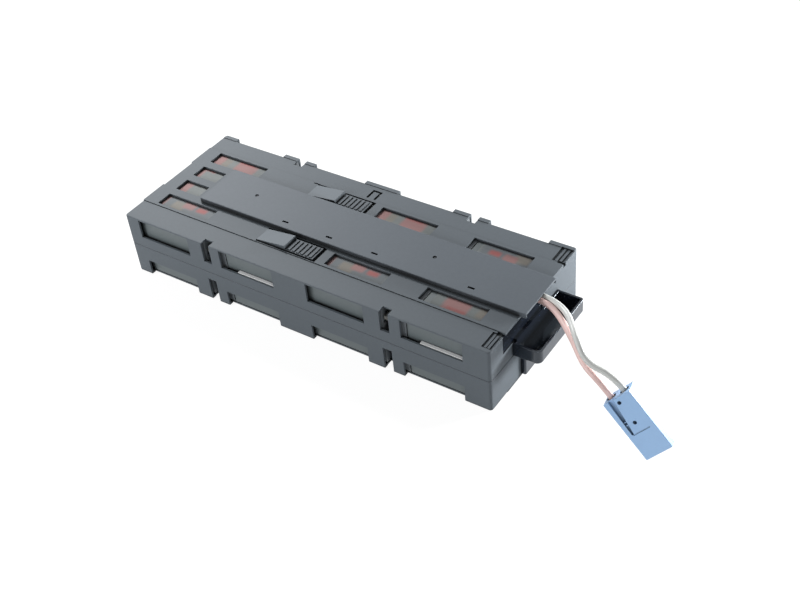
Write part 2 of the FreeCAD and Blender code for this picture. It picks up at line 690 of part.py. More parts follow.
def gap_run(place, look, rise_at, diameter):
    """The route from a tab down, along the terminal gap and up to the channel."""
    x, y, z = under(place, look)
    rise_x, rise_y = rise_at
    run_z = GAP_RUN_Z - diameter
    points = [(x, y, z), (x, y, run_z)]
    if abs(rise_x - x) > 1:
        points.append((x, rise_y - GAP_SHIFT, run_z))
    return points + [(rise_x, rise_y, run_z), (rise_x, rise_y, LEAD_Z)]


def jumper():
    """The lead that joins the second battery to the third."""
    _, plus, look_back = tab_places(1)
    minus, _, look_on = tab_places(2)
    first = gap_run(plus, look_back, (under(plus, look_back)[0], JUMPER_Y),
                    JUMPER_DIAMETER)
    last = gap_run(minus, look_on, (under(minus, look_on)[0], JUMPER_Y),
                   JUMPER_DIAMETER)
    return tube(first + last[::-1], JUMPER_DIAMETER, "jumper_2_3", JUMPER_BEND)


def inner_lead(place, look, lead_y, name):
    """A main lead from its tab to the edge of the tray, under the cover."""
    lid_face = min(place.x, place.x + look * TERMINAL_GAP)
    rise_x = lid_face + RECEPTACLE_SEAT + RECEPTACLE[0] / 2
    points = gap_run(place, look, (rise_x, lead_y), LEAD_DIAMETER)
    return tube(points + [(LEAD_EXIT, lead_y, LEAD_Z)], LEAD_DIAMETER, name, LEAD_BEND)


# ---------------------------------------------------------------- connector
def connector_frame():
    """The connector's own axes in the part's frame, and their origin.

    u runs from the wire end to the nose, v across the broad face from its
    upper side down, and w from that face through the thickness.
    """
    pitch, yaw, roll = (math.radians(a) for a in (
        CONNECTOR_PITCH, CONNECTOR_YAW, CONNECTOR_ROLL))
    u = V(math.cos(pitch) * math.cos(yaw), math.cos(pitch) * math.sin(yaw),
          -math.sin(pitch))
    level = V(-math.sin(yaw), math.cos(yaw), 0)
    rise = u.cross(level)
    v = level * -math.sin(roll) - rise * math.cos(roll)
    w = level * math.cos(roll) - rise * math.sin(roll)
    lowest = (u.z * CONNECTOR_LENGTH + min(0, v.z) * CONNECTOR_WIDTH
              + min(0, w.z) * TONGUE_THICK)
    return u, v, w, V(CONNECTOR_AT[0], CONNECTOR_AT[1], CONNECTOR_REST - lowest)


def placed(shape):
    """Move a shape from the connector's own axes to where it lies."""
    u, v, w, origin = connector_frame()
    matrix = FreeCAD.Matrix(u.x, v.x, w.x, origin.x, u.y, v.y, w.y, origin.y,
                            u.z, v.z, w.z, origin.z, 0, 0, 0, 1)
    return shape.transformed(matrix)


def pole_places():
    """The middle of each wire entry, in the connector's own axes."""
    middle = CONNECTOR_WIDTH / 2
    return [V(0, middle + side * POLE_PITCH / 2, CONNECTOR_THICK / 2)
            for side in (1, -1)]


def connector_housing():
    """A two-pole housing with a full rear half and a half-thick nose."""
    rear = box(0, CONNECTOR_REAR, 0, CONNECTOR_WIDTH, 0, CONNECTOR_THICK)
    nose = box(CONNECTOR_REAR - 1, CONNECTOR_LENGTH, 0, CONNECTOR_WIDTH, 0, TONGUE_THICK)
    body = rear.fuse(nose).removeSplitter()
    body = body.makeFillet(CONNECTOR_EDGE, [
        e for e in body.Edges
        if e.BoundBox.XLength > CONNECTOR_REAR / 2
        or e.BoundBox.ZLength > TONGUE_THICK * 0.8])
    low = CONNECTOR_WIDTH - GROOVE_START
    high = low - GROOVE_WIDTH
    groove = Part.Face(Part.makePolygon([
        V(-1, low, -1), V(-1, high, -1), V(GROOVE_LENGTH, low - 1, -1),
        V(GROOVE_LENGTH, low + 1, -1), V(-1, low, -1)])).extrude(
            V(0, 0, GROOVE_DEPTH + 1))
    groove = groove.cut([box(u, u + GROOVE_RIB, 0, CONNECTOR_WIDTH,
                             GROOVE_DEPTH / 3, GROOVE_DEPTH + 1) for u in GROOVE_RIBS])
    cuts = [groove, box(STEP_LINE, STEP_LINE + STEP_LINE_WIDTH, GROOVE_START, low,
                        -1, STEP_LINE_DEPTH)]
    middle = CONNECTOR_WIDTH / 2
    for u in KEY_HOLES:
        depth = CONNECTOR_THICK + 2 if u < CONNECTOR_REAR - KEY_HOLE_RADIUS else TONGUE_THICK
        cuts.append(Part.makeCylinder(KEY_HOLE_RADIUS, depth, V(u, middle, -1)))
    for place in pole_places():
        cuts.append(Part.makeCylinder(POLE_BORE / 2, CONTACT_REAR + 1,
                                      V(-1, place.y, place.z), V(1, 0, 0)))
        slot_y = place.y - CONTACT_WIDTH / 2 - CONTACT_PLAY
        cuts.append(box(CONTACT_REAR - 1, CONNECTOR_LENGTH + 1, slot_y,
                        slot_y + CONTACT_WIDTH + 2 * CONTACT_PLAY,
                        TONGUE_THICK - CONTACT_SLOT, CONNECTOR_THICK / 2 + 1.5))
    return placed(body.cut(cuts))


def connector_contact(place):
    """A flat contact with the barrel that is crimped on its lead."""
    barrel = Part.makeCylinder(CONTACT_BARREL / 2, CONTACT_REAR - BARREL_START,
                               V(BARREL_START, place.y, place.z), V(1, 0, 0))
    low = TONGUE_THICK - CONTACT_SLOT + CONTACT_PLAY
    blade = box(CONTACT_REAR - 1, CONNECTOR_LENGTH - CONTACT_SET_BACK,
                place.y - CONTACT_WIDTH / 2, place.y + CONTACT_WIDTH / 2,
                low, low + CONTACT_THICK)
    return placed(barrel.fuse(blade).removeSplitter())


def free_lead(lead_y, route, pole, name):
    """A lead from under the hood to its barrel in the connector."""
    u, v, w, origin = connector_frame()
    entry = pole_places()[pole]
    last = origin + u * BARREL_START + v * entry.y + w * entry.z
    before = last - u * LAST_RUN
    points = [(LEAD_EXIT, lead_y, LEAD_Z)] + route + [tuple(before), tuple(last)]
    print(name, "ends", [round(c, 1) for c in before], [round(c, 1) for c in last])
    return tube(points, LEAD_DIAMETER, name)


def main():
    """Build every piece and write it."""
    os.makedirs("parts", exist_ok=True)
    lower, upper = seated_halves()
    save("lower_shell", lower)
    save("upper_shell", upper)
    save("wiring_cover", wiring_cover())
    save("handle", handle())
    for index in range(4):
        name = "battery_%d_" % (index + 1)
        case, lid, tabs = battery(index)
        save(name + "case", case)
        save(name + "lid", lid)
        save(name + "label", battery_label(index))
        minus, plus, look = tab_places(index)
        for pole, place, tab in zip(("negative", "positive"), (minus, plus), tabs):
            save(name + pole + "_tab", tab)
            save(name + pole + "_receptacle", receptacle(place, look))
    for index in (1, 3):
        save("foam_strip_%d" % (index + 1), foam_strip(index))

    minus, plus, look = zip(*(tab_places(index) for index in range(4)))
    save("link_1_2", link((plus[0], look[0]), (minus[1], look[1]), "link_1_2"))
    save("link_3_4", link((plus[2], look[2]), (minus[3], look[3]), "link_3_4"))
    save("jumper_2_3", jumper())
    save("positive_lead_inner",
         inner_lead(plus[3], look[3], POSITIVE_LEAD_Y, "positive_lead_inner"))
    save("negative_lead_inner",
         inner_lead(minus[0], look[0], NEGATIVE_LEAD_Y, "negative_lead_inner"))

    save("connector_housing", connector_housing())
    for pole, place in zip(("positive", "negative"), pole_places()):
        save(pole + "_contact", connector_contact(place))
    save("positive_lead", free_lead(POSITIVE_LEAD_Y, POSITIVE_ROUTE, 0, "positive_lead"))
    save("negative_lead", free_lead(NEGATIVE_LEAD_Y, NEGATIVE_ROUTE, 1, "negative_lead"))


main()
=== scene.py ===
# %% [markdown]
# # A battery cartridge for a rack power supply
#
# The object is a flat moulded tray with four sealed batteries inside.  Leads run
# along its top under a long cover and leave over a black pull handle to a blue
# connector.  The solids come from the frame, at their real size.  This lesson
# lays the two free leads as smooth curves, gives every surface its finish and
# sets the light.

# %% [markdown]
# ## Start from the frame
#
# The frame brings one mesh for each rigid piece, already in its place.  Nothing here
# moves them.

import bpy
import math

from mathutils import Euler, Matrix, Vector


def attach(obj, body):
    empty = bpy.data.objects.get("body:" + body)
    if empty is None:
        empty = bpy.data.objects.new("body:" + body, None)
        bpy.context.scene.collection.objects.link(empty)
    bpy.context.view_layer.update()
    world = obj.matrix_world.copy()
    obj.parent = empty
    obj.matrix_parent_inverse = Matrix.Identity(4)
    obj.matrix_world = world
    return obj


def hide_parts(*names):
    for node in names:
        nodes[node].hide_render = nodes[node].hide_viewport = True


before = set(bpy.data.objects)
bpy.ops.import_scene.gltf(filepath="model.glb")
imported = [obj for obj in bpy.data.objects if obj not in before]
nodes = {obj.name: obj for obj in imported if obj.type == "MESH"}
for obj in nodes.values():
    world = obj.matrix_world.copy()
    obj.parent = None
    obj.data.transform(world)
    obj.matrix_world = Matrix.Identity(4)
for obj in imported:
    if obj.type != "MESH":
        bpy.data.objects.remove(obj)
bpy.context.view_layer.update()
print("pieces in the frame:", len(nodes))

# %% [markdown]
# ## Camera
#
# The object is seen from above its near side and from its handle end, so that
# the top, the long side and a little of the end wall all show.  A lens of about
# 55 mm keeps the long edges nearly parallel.  The camera's turn is written as
# three angles, which are easier to read and change than a matrix.

# %% Place the camera
CAMERA_PLACE = Vector((0.5989, -0.7002, 0.7631))
CAMERA_TURN = [math.radians(angle) for angle in (49.29, 4.65, 33.57)]
CAMERA_LENS = 54.72
CAMERA_SENSOR = 36.0
CAMERA_NEAR, CAMERA_FAR = 0.01, 20.0

camera_data = bpy.data.cameras.new("camera")
camera_data.lens = CAMERA_LENS
camera_data.sensor_width = CAMERA_SENSOR
camera_data.clip_start = CAMERA_NEAR
camera_data.clip_end = CAMERA_FAR
camera = bpy.data.objects.new("camera", camera_data)
camera.location = CAMERA_PLACE
camera.rotation_euler = Euler(CAMERA_TURN, "XYZ")
bpy.context.scene.collection.objects.link(camera)
bpy.context.scene.camera = camera
print("camera at", tuple(round(c, 3) for c in camera.location))

# %% [markdown]
# ## The two leads
#
# Two thick insulated leads come out under the cover side by side, swing over the
# handle and turn down into the connector, which stands on its nose.  They are
# stiff enough to hold that arch.  A NURBS curve with the route's points as its
# control points gives one smooth line, and a round bevel gives the thickness.
# The thickness is written as each point's own radius, with a bevel depth of one:
# the curve's box is then no larger than the lead, which a wide default radius
# would make it.  The order and the endpoint setting come after the points,
# because a new spline starts without enough points for them.

# %% Lay a lead along its route
LEAD_DIAMETER = 0.0056
LEAD_RING = 8
LEAD_STEPS = 16
LEAD_ORDER = 3


def lead_curve(name, route, start, end):
    """A smooth round lead from start, through the route, to end."""
    curve = bpy.data.curves.new(name, "CURVE")
    curve.dimensions = "3D"
    curve.bevel_depth = 1.0
    curve.bevel_resolution = LEAD_RING
    curve.resolution_u = LEAD_STEPS
    curve.use_fill_caps = True
    points = [start] + route + end
    spline = curve.splines.new("NURBS")
    spline.points.add(len(points) - 1)
    for point, place in zip(spline.points, points):
        point.co = (*place, 1.0)
        point.radius = LEAD_DIAMETER / 2
    spline.order_u = LEAD_ORDER
    spline.use_endpoint_u = True
    lead = bpy.data.objects.new(name, curve)
    bpy.context.scene.collection.objects.link(lead)
    return lead


print("a lead is", LEAD_DIAMETER, "m thick")

# %% [markdown]
# ## The way each lead takes
#
# Both leads start inside the end wall, where the cover holds them flat on the
# batteries, and end inside the connector, so neither end can be seen.  The first
# point outside keeps the height of the start, because a held lead leaves straight.
# The last two points lie on the line of the connector's own wire entry, so the
# curve goes in square.  The grey lead arches over the red one.

# %% Route the two free leads
LEAD_EXIT_X = 0.2038
LEAD_HEIGHT = 0.07025
POSITIVE_Y = -0.0005
NEGATIVE_Y = 0.0054

positive_exit = (LEAD_EXIT_X, POSITIVE_Y, LEAD_HEIGHT)
negative_exit = (LEAD_EXIT_X, NEGATIVE_Y, LEAD_HEIGHT)
POSITIVE_ROUTE = [
    (0.2195, POSITIVE_Y, LEAD_HEIGHT), (0.2370, -0.0094, 0.0680),
    (0.2615, -0.0318, 0.0676), (0.2782, -0.0465, 0.0610),
]
NEGATIVE_ROUTE = [
    (0.2195, NEGATIVE_Y, LEAD_HEIGHT), (0.2416, -0.0050, 0.0722),
    (0.2642, -0.0353, 0.0796), (0.2816, -0.0495, 0.0674),
]
POSITIVE_END = [(0.2969, -0.0532, 0.0557), (0.3112, -0.0541, 0.0417)]
NEGATIVE_END = [(0.3058, -0.0488, 0.0645), (0.3201, -0.0497, 0.0506)]

positive_lead = lead_curve("lead_red", POSITIVE_ROUTE, positive_exit, POSITIVE_END)
negative_lead = lead_curve("lead_grey", NEGATIVE_ROUTE, negative_exit, NEGATIVE_END)
print("leads laid to", POSITIVE_END[-1], "and", NEGATIVE_END[-1])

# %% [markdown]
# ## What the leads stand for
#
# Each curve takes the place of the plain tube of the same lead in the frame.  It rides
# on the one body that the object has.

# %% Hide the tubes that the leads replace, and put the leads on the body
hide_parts("positive_lead")
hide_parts("negative_lead")
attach(positive_lead, "root")
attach(negative_lead, "root")
print("leads replace the tubes positive_lead and negative_lead")

# %% [markdown]
# ## Helpers for node trees
#
# Every finish below is a small tree of shader nodes.  Made by hand, each node
# would be added, set and linked in the Shader Editor.  In a script the same
# steps come back so often that they are worth short functions.  A group's sockets
# are made before its nodes, and get their names and starting values at once.

# %% Make a group, add a node, link two sockets
def new_group(name, inputs, outputs):
    """An empty shader node group with float inputs and typed outputs."""
    group = bpy.data.node_groups.new(name, "ShaderNodeTree")
    for title, value in inputs.items():
        socket = group.interface.new_socket(
            title, in_out="INPUT", socket_type="NodeSocketFloat")
        socket.default_value = value
    for title, kind in outputs.items():
        group.interface.new_socket(title, in_out="OUTPUT", socket_type=kind)
    return group, group.nodes.new("NodeGroupInput"), group.nodes.new("NodeGroupOutput")


def add_node(tree, kind, settings=None, **inputs):
    """A node with its settings, and its unlinked inputs by name."""
    node = tree.nodes.new(kind)
    for name, value in (settings or {}).items():
        setattr(node, name, value)
    for name, value in inputs.items():
        node.inputs[name.replace("_", " ")].default_value = value
    return node


def link(tree, source, target):
    """Join an output socket to an input socket."""
    tree.links.new(source, target)


def opaque(colour, times=1.0):
    """A colour made darker or lighter, no brighter than white, with full alpha."""
    return [min(1.0, part * times) for part in colour] + [1.0]


print("helpers: new_group, add_node, link, opaque")

# %% [markdown]
# ## Mixing two colours
#
# Most effects here end in the same way: a mask decides, at each point, between
# the colour so far and another colour.  That is one Mix node set to colours.

# %% A colour mix steered by a mask
def mix_colours(tree, mask, first, second):
    """The socket of a mix: first where the mask is 0, second where it is 1.

    first is a colour or the output of another node, second is a colour.
    """
    mix = add_node(tree, "ShaderNodeMix", {"data_type": "RGBA"})
    if isinstance(first, bpy.types.NodeSocket):
        link(tree, first, mix.inputs["A"])
    else:
        mix.inputs["A"].default_value = first
    mix.inputs["B"].default_value = second
    link(tree, mask, mix.inputs["Factor"])
    return mix.outputs["Result"]


def multiply(tree, first, second):
    """The product of an output and of another output or a plain number."""
    product = add_node(tree, "ShaderNodeMath", {"operation": "MULTIPLY"})
    link(tree, first, product.inputs[0])
    if isinstance(second, bpy.types.NodeSocket):
        link(tree, second, product.inputs[1])
    else:
        product.inputs[1].default_value = second
    return product.outputs["Value"]


def between(tree, value, from_min, from_max):
    """A mask that goes from 0 at one value to 1 at the other, and stops there."""
    ramp = add_node(tree, "ShaderNodeMapRange",
                    From_Min=from_min, From_Max=from_max)
    link(tree, value, ramp.inputs["Value"])
    return ramp.outputs["Result"]


print("helpers: mix_colours, multiply, between")

# %% [markdown]
# ## Moulded grain
#
# Moulded plastic is never quite flat or even.  The mould leaves a fine grain on
# it, and its colour drifts in slow clouds with a smaller mottle on top.  Several
# plastics need the same thing at other strengths, so it is a node group: one
# noise for the grain's height, and two mixed noises for the cloudy mask.

# %% Group: moulded grain
GRAIN_SCALE = 900.0
CLOUD_SCALE = 14.0
MOTTLE_SCALE = 330.0
MOTTLE_SHARE = 0.45


def build_moulded_grain():
    """Height of a fine texture, and a slow cloudy mask, on Object coordinates."""
    group, start, end = new_group(
        "moulded_grain", {"Grain Scale": GRAIN_SCALE, "Cloud Scale": CLOUD_SCALE},
        {"Height": "NodeSocketFloat", "Cloud": "NodeSocketFloat"})
    place = add_node(group, "ShaderNodeTexCoord")
    grain = add_node(group, "ShaderNodeTexNoise", Detail=3.0, Roughness=0.6)
    cloud = add_node(group, "ShaderNodeTexNoise", Detail=4.0, Roughness=0.55)
    mottle = add_node(group, "ShaderNodeTexNoise", Scale=MOTTLE_SCALE, Detail=2.0)
    for noise in (grain, cloud, mottle):
        link(group, place.outputs["Object"], noise.inputs["Vector"])
    link(group, start.outputs["Grain Scale"], grain.inputs["Scale"])
    link(group, start.outputs["Cloud Scale"], cloud.inputs["Scale"])
    both = add_node(group, "ShaderNodeMix", Factor=MOTTLE_SHARE)
    link(group, cloud.outputs["Fac"], both.inputs["A"])
    link(group, mottle.outputs["Fac"], both.inputs["B"])
    link(group, grain.outputs["Fac"], end.inputs["Height"])
    link(group, both.outputs["Result"], end.inputs["Cloud"])
    return group


moulded_grain = build_moulded_grain()
print("group:", moulded_grain.name)

# %% [markdown]
# ## Edges: rubbing and a painted highlight
#
# A slightly rounded corner catches a thin highlight, and handling rubs it a little
# lighter too, so both are painted into the colour along the corners.  A Bevel node
# gives the normal that a rounded corner would have.  Where that turns away from the
# true normal, there is an edge, so their dot product makes the mask.  A noise breaks
# the lightening up, because no edge is lit or rubbed evenly.

# %% Group: edge mask for rubbing and a painted highlight
EDGE_RADIUS = 0.0006
BREAKUP_SCALE = 120.0
FLAT_DOT = 0.995
EDGE_DOT = 0.85
BEVEL_SAMPLES = 6


def build_edge_wear_and_shading_mask():
    """A mask that is 1 along sharp corners, from a bevelled normal."""
    group, start, end = new_group(
        "edge_wear_and_shading_mask", {"Radius": EDGE_RADIUS, "Breakup Scale": BREAKUP_SCALE},
        {"Mask": "NodeSocketFloat"})
    place = add_node(group, "ShaderNodeTexCoord")
    bevel = add_node(group, "ShaderNodeBevel", {"samples": BEVEL_SAMPLES})
    facing = add_node(group, "ShaderNodeNewGeometry")
    product = add_node(group, "ShaderNodeVectorMath", {"operation": "DOT_PRODUCT"})
    breakup = add_node(group, "ShaderNodeTexNoise", Detail=3.0)
    link(group, start.outputs["Radius"], bevel.inputs["Radius"])
    link(group, bevel.outputs["Normal"], product.inputs[0])
    link(group, facing.outputs["Normal"], product.inputs[1])
    link(group, place.outputs["Object"], breakup.inputs["Vector"])
    link(group, start.outputs["Breakup Scale"], breakup.inputs["Scale"])
    edge = between(group, product.outputs["Value"], FLAT_DOT, EDGE_DOT)
    worn_and_shaded = multiply(group, edge, breakup.outputs["Fac"])
    link(group, worn_and_shaded, end.inputs["Mask"])
    return group


edge_wear_and_shading_mask = build_edge_wear_and_shading_mask()
print("group:", edge_wear_and_shading_mask.name)

# %% [markdown]
# ## Painted shade in crevices
#
# Shade gathers where two walls meet and under the cover's rim, and it is painted into
# the colour there as dark lines, which tell the eye that the tray is made of separate
# mouldings.  An Ambient Occlusion node measures how open each point is within a short
# reach, and a Map Range turns that into a mask.

# %% Group: crevice, where shade is painted
CREVICE_REACH = 0.005
CREVICE_OPEN = 0.80
CREVICE_CLOSED = 0.50
OCCLUSION_SAMPLES = 8


def build_crevice():
    """A mask that is 1 deep in a recess, where shade is painted into the colour."""
    group, start, end = new_group(
        "crevice",
        {"Reach": CREVICE_REACH, "Open": CREVICE_OPEN, "Closed": CREVICE_CLOSED},
        {"Mask": "NodeSocketFloat"})
    opening = add_node(group, "ShaderNodeAmbientOcclusion",
                       {"samples": OCCLUSION_SAMPLES})
    deep = add_node(group, "ShaderNodeMapRange")
    link(group, start.outputs["Reach"], opening.inputs["Distance"])
    link(group, opening.outputs["AO"], deep.inputs["Value"])
    link(group, start.outputs["Open"], deep.inputs["From Min"])
    link(group, start.outputs["Closed"], deep.inputs["From Max"])
    link(group, deep.outputs["Result"], end.inputs["Mask"])
    return group


crevice = build_crevice()
print("group:", crevice.name)

# %% [markdown]
# ## Using a group in a material
#
# A group node is placed in each material with that material's own values, and
# what isn't given keeps the group's starting value.  A new material with nodes
# switched on already holds a Principled shader, so nothing has to be added.

# %% Place a group, start a material
def place_group(tree, group, **inputs):
    """A shader node group placed in a material with its own values."""
    return add_node(tree, "ShaderNodeGroup", {"node_tree": group}, **inputs)


def new_material(name):
    """A material, its node tree and its Principled shader."""
    material = bpy.data.materials.new(name)
    material.use_nodes = True
    tree = material.node_tree
    return material, tree, tree.nodes["Principled BSDF"]


print("helpers: place_group, new_material")

# %% [markdown]
# ## Moulded plastics
#
# The tray, its cover, the batteries, the handle and the connector are all injection
# moulded.  One function makes such a plastic from a colour, a roughness and the
# strengths of the shared effects, so each piece is one short call.  The Principled
# shader stays in the material, and its plain numbers are set on its own sockets.
# Three masks are laid over each other: cloudy colour first, then lighter edges, partly
# from rubbing and partly a painted highlight, then painted shade in the recesses.

# %% A plastic from a few values
WORN_LIT_EDGE_TIMES = 2.2
WORN_LIT_EDGE_PLUS = 0.05
CREVICE_SPAN = 0.30
GRAIN_HEIGHT = 0.0002


def moulded_plastic(name, colour, roughness, grain=GRAIN_SCALE, bump=0.05,
                    edge_wear_and_shading=0.25, cloud=0.12, specular=0.5, painted_shade_times=0.12,
                    reach=CREVICE_REACH, still_open=CREVICE_OPEN, edge=None):
    """Injection-moulded plastic: grain, cloudy colour, edges lightened by rubbing and
    a painted highlight, painted shade in recesses.
    """
    material, tree, shader = new_material(name)
    texture = place_group(tree, moulded_grain, Grain_Scale=grain)
    edges = place_group(tree, edge_wear_and_shading_mask)
    recess = place_group(tree, crevice, Reach=reach, Open=still_open,
                         Closed=still_open - CREVICE_SPAN)
    base = mix_colours(tree, texture.outputs["Cloud"],
                       opaque(colour, 1 - cloud), opaque(colour, 1 + cloud))
    # The edge colour is lighter, for rubbing and a painted highlight, unless the piece
    # passes its own edge colour.
    painted_tone = edge or [part * WORN_LIT_EDGE_TIMES + WORN_LIT_EDGE_PLUS for part in colour]
    worn_and_shaded = mix_colours(tree, multiply(tree, edges.outputs["Mask"], edge_wear_and_shading),
                       base, opaque(painted_tone))
    # Painted shade darkens the colour in the recesses.
    shaded = mix_colours(tree, recess.outputs["Mask"], worn_and_shaded, opaque(colour, painted_shade_times))
    relief = add_node(tree, "ShaderNodeBump", Strength=bump, Distance=GRAIN_HEIGHT)
    link(tree, texture.outputs["Height"], relief.inputs["Height"])
    link(tree, relief.outputs["Normal"], shader.inputs["Normal"])
    link(tree, shaded, shader.inputs["Base Color"])
    shader.inputs["Roughness"].default_value = roughness
    shader.inputs["Specular IOR Level"].default_value = specular
    return material


print("helper: moulded_plastic")

# %% [markdown]
# ## The tray
#
# Both halves of the tray are one dark blue-grey plastic with a fine matt texture.
# The ramps that lean to the back end face the key lamp, and the light they catch is
# painted into their colour as a lighter grey.  They could be cut out as faces with a
# material of their own, but the CAD mesh stays as it is, so they are picked by their
# normal inside the material.

# %% The tray's grey, and painted light on its ramps
TRAY_GREY = (0.118, 0.138, 0.157)
RAMP_PAINTED_LIGHT = 1.32
RAMP_LEAN = (-0.03, -0.10)
RAMP_UPWARD = (0.93, 0.98)


def paint_light_on_ramps(material, colour, lighter):
    """Lighten the slopes that lean to the back end, as painted light from the key
    lamp.
    """
    tree = material.node_tree
    surface = tree.nodes["Principled BSDF"].inputs["Base Color"]
    before = surface.links[0].from_socket
    facing = add_node(tree, "ShaderNodeNewGeometry")
    parts = add_node(tree, "ShaderNodeSeparateXYZ")
    link(tree, facing.outputs["Normal"], parts.inputs["Vector"])
    lean = between(tree, parts.outputs["X"], *RAMP_LEAN)
    upward = between(tree, parts.outputs["Z"], *RAMP_UPWARD)
    painted_tone = mix_colours(tree, multiply(tree, lean, upward), before,
                         opaque(colour, lighter))
    link(tree, painted_tone, surface)


# The tray plastic also gets a painted highlight along its edges and painted shade in
# its recesses.
tray_material = moulded_plastic("tray_plastic", TRAY_GREY, 0.62, specular=0.25)
paint_light_on_ramps(tray_material, TRAY_GREY, RAMP_PAINTED_LIGHT)
print("finish:", tray_material.name)

# %% [markdown]
# ## The cover
#
# The cover is a moulding of its own in nearly the same grey.  It hangs over the tray's
# plate, so its painted crevice shade reaches further and is darker, and the shade
# painted into the gap under its rim reads as a black line.  From here on a small
# helper gives each piece of the frame its finish.

# %% The cover's grey, and a helper that paints a piece
COVER_GREY = (0.118, 0.138, 0.160)
cover_material = moulded_plastic("cover_plastic", COVER_GREY, 0.60, specular=0.25,
                                 painted_shade_times=0.08, reach=0.016, still_open=0.94)


def paint(node_name, material):
    """Give a frame node one material, on every slot it has."""
    piece = nodes[node_name]
    if not piece.material_slots:
        piece.data.materials.append(material)
    for slot in piece.material_slots:
        slot.material = material


for name in ("lower_shell", "upper_shell"):
    paint(name, tray_material)
paint("wiring_cover", cover_material)
print("tray and cover painted")

# %% [markdown]
# ## The batteries
#
# Each sealed battery is a satin case with a slightly lighter lid welded on.  They are
# only seen through the windows, so their colours matter more than their grain.  The
# lid's painted crevice shade has a very short reach, which leaves just the weld line
# dark.

# %% Paint the batteries
BATTERIES = range(1, 5)
CASE_GREY = (0.118, 0.142, 0.150)
LID_GREY = (0.20, 0.225, 0.245)
WELD_REACH = 0.0018
case_material = moulded_plastic("battery_case", CASE_GREY, 0.45, edge_wear_and_shading=0.1)
lid_material = moulded_plastic("battery_lid", LID_GREY, 0.45, edge_wear_and_shading=0.1,
                               reach=WELD_REACH)
for number in BATTERIES:
    paint("battery_%d_case" % number, case_material)
    paint("battery_%d_lid" % number, lid_material)
print("batteries painted:", len(BATTERIES))

# %% [markdown]
# ## The handle
#
# The pull handle is the one glossy piece: black plastic from a polished mould.
# The Principled shader's coat lays a second, softer shine over it, and a faint
# blue tint in both keeps the highlights as cold as the rest.  Nothing clouds its
# colour, since black would only turn grey.

# %% Paint the handle
HANDLE_BLACK = (0.008, 0.011, 0.018)
COLD_COAT = (0.85, 0.93, 1.0)
COLD_SHINE = (0.80, 0.90, 1.0)
# The edge mask paints light glints along the handle's edges, with a little rubbing,
# and its recesses get painted shade.
handle_material = moulded_plastic("handle_plastic", HANDLE_BLACK, 0.16,
                                  grain=260.0, bump=0.06, edge_wear_and_shading=0.3, cloud=0.0)
polish = handle_material.node_tree.nodes["Principled BSDF"]
polish.inputs["Coat Weight"].default_value = 0.4
polish.inputs["Coat Roughness"].default_value = 0.10
polish.inputs["Coat Tint"].default_value = opaque(COLD_COAT)
polish.inputs["Specular Tint"].default_value = opaque(COLD_SHINE)
paint("handle", handle_material)
print("handle painted:", handle_material.name)

# %% [markdown]
# ## The connector
#
# The connector is a light blue two-pole housing.  Its edges are drawn darker and
# not lighter than its faces, because on so pale a plastic it is the shaded corner
# that shows, so it passes its own edge colour.

# %% Paint the connector
CONNECTOR_BLUE = (0.38, 0.60, 0.92)
SHADED_BLUE = (0.17, 0.27, 0.40)
# Its edges are painted in the shaded blue as painted shade, and its recesses get
# painted shade too.
connector_material = moulded_plastic("connector_plastic", CONNECTOR_BLUE, 0.35,
                                     edge_wear_and_shading=0.9, cloud=0.05, painted_shade_times=0.35,
                                     edge=SHADED_BLUE)
paint("connector_housing", connector_material)
print("connector painted:", connector_material.name)

# %% [markdown]
# ## Printed labels
#
# Each battery carries a printed film label on the face that the windows show.
# Only parts of it are seen, as soft fields of red, rose and sand on a pale grey
# ground.  They could be painted as an image, but a mask between four edges does
# the same in nodes and stays sharp at any size.  The layout is a generic one of
# plain blocks, with no letters.

# %% A field of colour between four edges
FIELD_SOFTNESS = 0.0035


def build_print_field():
    """A mask that is 1 inside a rectangle of the two coordinates."""
    group, start, end = new_group(
        "print_field", {"Along": 0.0, "Across": 0.0, "Along Middle": 0.0,
                        "Along Half": 0.1, "Across Middle": 0.0,
                        "Across Half": 0.1, "Softness": FIELD_SOFTNESS},
        {"Mask": "NodeSocketFloat"})
    masks = []
    for axis in ("Along", "Across"):
        offset = add_node(group, "ShaderNodeMath", {"operation": "SUBTRACT"})
        reach = add_node(group, "ShaderNodeMath", {"operation": "ABSOLUTE"})
        inside = add_node(group, "ShaderNodeMath", {"operation": "SUBTRACT"})
        share = add_node(group, "ShaderNodeMath",
                         {"operation": "DIVIDE", "use_clamp": True})
        link(group, start.outputs[axis], offset.inputs[0])
        link(group, start.outputs[axis + " Middle"], offset.inputs[1])
        link(group, offset.outputs["Value"], reach.inputs[0])
        link(group, start.outputs[axis + " Half"], inside.inputs[0])
        link(group, reach.outputs["Value"], inside.inputs[1])
        link(group, inside.outputs["Value"], share.inputs[0])
        link(group, start.outputs["Softness"], share.inputs[1])
        masks.append(share.outputs["Value"])
    link(group, multiply(group, *masks), end.inputs["Mask"])
    return group


print_field = build_print_field()
print("group:", print_field.name)

# %% [markdown]
# ## The layout of a label
#
# A field is written as its middle and its half width along the label, the same
# two across it, and its ink, all in metres from the label's own middle.  Later
# fields lie over earlier ones, as a second ink does on film.

